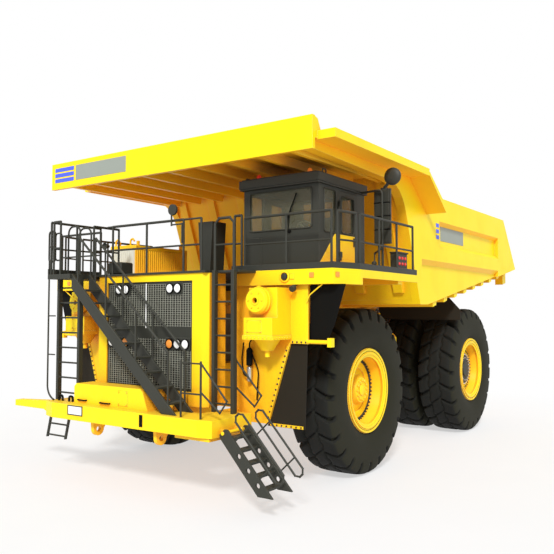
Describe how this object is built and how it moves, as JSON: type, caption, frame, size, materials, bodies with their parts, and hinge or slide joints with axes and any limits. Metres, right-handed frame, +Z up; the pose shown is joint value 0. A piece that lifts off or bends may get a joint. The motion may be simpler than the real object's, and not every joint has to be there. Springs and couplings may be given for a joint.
{
  "type": "rigid mining dump truck",
  "caption": "Rigid rear-dump mining truck with dual rear wheels, steered front wheels, a hoisted dump body with a canopy over the cab, stairs, ladders and railed decks.",
  "frame": {"origin": "on the ground, in the middle of the overall length and width", "axes": "+Z up, front of the truck towards -Y, left side of the truck towards +X"},
  "size_m": [7.495, 12.83, 6.3663],
  "materials": {
    "yellow_paint": "semi-gloss enamel, dusty",
    "charcoal_paint": "satin",
    "engine_iron": "matte",
    "core_black": "matte",
    "lamp_glass": "clear",
    "flap_rubber": "matte",
    "window_glass": "tinted",
    "cab_trim": "matte",
    "seat_fabric": "woven",
    "beacon_lens": "clear",
    "bright_steel": "polished",
    "tyre_rubber": "matte"
  },
  "bodies": {
    "chassis": {"frame": "yellow_paint", "front_arch": "yellow_paint", "arch_beam": "yellow_paint", "suspension_struts": "yellow_paint", "power_unit": "engine_iron", "rear_axle": "yellow_paint", "side_tanks": "yellow_paint", "steering_cylinders": "yellow_paint", "radiator_shroud": "yellow_paint", "radiator_core": "core_black", "grille": "charcoal_paint", "headlamps": "lamp_glass", "bumper": "yellow_paint", "bumper_box": "yellow_paint", "front_stairway": "charcoal_paint", "ladders": "charcoal_paint", "right_platform": "charcoal_paint", "centre_deck": "charcoal_paint", "side_decks": "yellow_paint", "deck_rails": "charcoal_paint", "bulkheads": "yellow_paint", "mud_flaps": "flap_rubber", "air_cleaners": "yellow_paint", "control_cabinet": "yellow_paint", "deck_duct": "charcoal_paint", "deck_box": "charcoal_paint", "mirrors": "charcoal_paint", "cab_shell": "charcoal_paint", "cab_roof": "charcoal_paint", "cab_glass": "window_glass", "cab_interior": "cab_trim", "cab_seats": "seat_fabric", "beacons": "beacon_lens"},
    "cab_door_left": {"left_door": "charcoal_paint", "left_door_glass": "window_glass"},
    "cab_door_right": {"right_door": "charcoal_paint", "right_door_glass": "window_glass"},
    "boarding_ladder": {"boarding_ladder": "charcoal_paint"},
    "knuckle_left": {"left_knuckle": "yellow_paint"},
    "knuckle_right": {"right_knuckle": "yellow_paint"},
    "tie_rod": {"tie_rod": "charcoal_paint"},
    "steering_rods": {"steering_rods": "bright_steel"},
    "wheel_front_left": {"front_left_wheel": "yellow_paint", "front_left_tyre": "tyre_rubber"},
    "wheel_front_right": {"front_right_wheel": "yellow_paint", "front_right_tyre": "tyre_rubber"},
    "wheels_rear_left": {"rear_left_wheels": "yellow_paint", "rear_left_tyres": "tyre_rubber"},
    "wheels_rear_right": {"rear_right_wheels": "yellow_paint", "rear_right_tyres": "tyre_rubber"},
    "dump_body": {"body_floor": "yellow_paint", "body_sides": "yellow_paint", "body_front_wall": "yellow_paint", "canopy": "yellow_paint", "body_flaps": "flap_rubber"},
    "hoist_barrels": {"hoist_barrels": "yellow_paint"},
    "hoist_outer_tubes": {"hoist_outer_tubes": "bright_steel"},
    "hoist_inner_tubes": {"hoist_inner_tubes": "bright_steel"},
    "hoist_rods": {"hoist_rods": "bright_steel"}
  },
  "joints": [
    {"name": "steer_left", "type": "hinge", "parent": "chassis", "child": "knuckle_left", "pos_m": [1.45, -2.575, 1.6], "axis": [0, 0, 1], "range_deg": [-32, 32]},
    {"name": "steer_right", "type": "hinge", "parent": "chassis", "child": "knuckle_right", "pos_m": [-1.45, -2.575, 1.6], "axis": [0, 0, 1], "range_deg": [-32, 32]},
    {"name": "tie_rod_turn", "type": "hinge", "parent": "knuckle_left", "child": "tie_rod", "pos_m": [1.45, -1.825, 1.26], "axis": [0, 0, 1], "range_deg": [-32, 32]},
    {"name": "steering_rod_slide", "type": "slide", "parent": "chassis", "child": "steering_rods", "axis": [1, 0, 0], "range_m": [-0.33, 0.33]},
    {"name": "front_left_spin", "type": "hinge", "parent": "knuckle_left", "child": "wheel_front_left", "pos_m": [2.495, -2.575, 1.6], "axis": [1, 0, 0], "continuous": true},
    {"name": "front_right_spin", "type": "hinge", "parent": "knuckle_right", "child": "wheel_front_right", "pos_m": [-2.495, -2.575, 1.6], "axis": [1, 0, 0], "continuous": true},
    {"name": "rear_left_spin", "type": "hinge", "parent": "chassis", "child": "wheels_rear_left", "pos_m": [1.945, 3.315, 1.6], "axis": [1, 0, 0], "continuous": true},
    {"name": "rear_right_spin", "type": "hinge", "parent": "chassis", "child": "wheels_rear_right", "pos_m": [-1.945, 3.315, 1.6], "axis": [1, 0, 0], "continuous": true},
    {"name": "body_tilt", "type": "hinge", "parent": "chassis", "child": "dump_body", "pos_m": [0, 4.465, 2.525], "axis": [-1, 0, 0], "range_deg": [0, 45]},
    {"name": "hoist_swing", "type": "hinge", "parent": "chassis", "child": "hoist_barrels", "pos_m": [0, 1.325, 1.55], "axis": [-1, 0, 0], "range_deg": [0, 25]},
    {"name": "hoist_first_stage", "type": "slide", "parent": "hoist_barrels", "child": "hoist_outer_tubes", "axis": [0, -0.0665, 0.9978], "range_m": [0, 0.85]},
    {"name": "hoist_second_stage", "type": "slide", "parent": "hoist_outer_tubes", "child": "hoist_inner_tubes", "axis": [0, -0.0665, 0.9978], "range_m": [0, 0.85]},
    {"name": "hoist_third_stage", "type": "slide", "parent": "hoist_inner_tubes", "child": "hoist_rods", "axis": [0, -0.0665, 0.9978], "range_m": [0, 0.85]},
    {"name": "left_door_hinge", "type": "hinge", "parent": "chassis", "child": "cab_door_left", "pos_m": [3.014, -3.843, 4.66], "axis": [0, 0, -1], "range_deg": [0, 60]},
    {"name": "right_door_hinge", "type": "hinge", "parent": "chassis", "child": "cab_door_right", "pos_m": [1.296, -3.843, 4.66], "axis": [0, 0, 1], "range_deg": [0, 75]},
    {"name": "boarding_ladder_hinge", "type": "hinge", "parent": "chassis", "child": "boarding_ladder", "pos_m": [2.23, -5.935, 1.23], "axis": [0, -1, 0], "range_deg": [0, 92]}
  ],
  "couplings": [
    {"joint": "steer_right", "follows": "steer_left", "ratio": 1},
    {"joint": "tie_rod_turn", "follows": "steer_left", "ratio": -1},
    {"joint": "steering_rod_slide", "follows": "steer_left", "m_per_rad": 0.5693},
    {"joint": "hoist_swing", "follows": "body_tilt", "ratio": 0.49661},
    {"joint": "hoist_first_stage", "follows": "body_tilt", "m_per_rad": 1.0052},
    {"joint": "hoist_second_stage", "follows": "body_tilt", "m_per_rad": 1.0052},
    {"joint": "hoist_third_stage", "follows": "body_tilt", "m_per_rad": 1.0052}
  ]
}
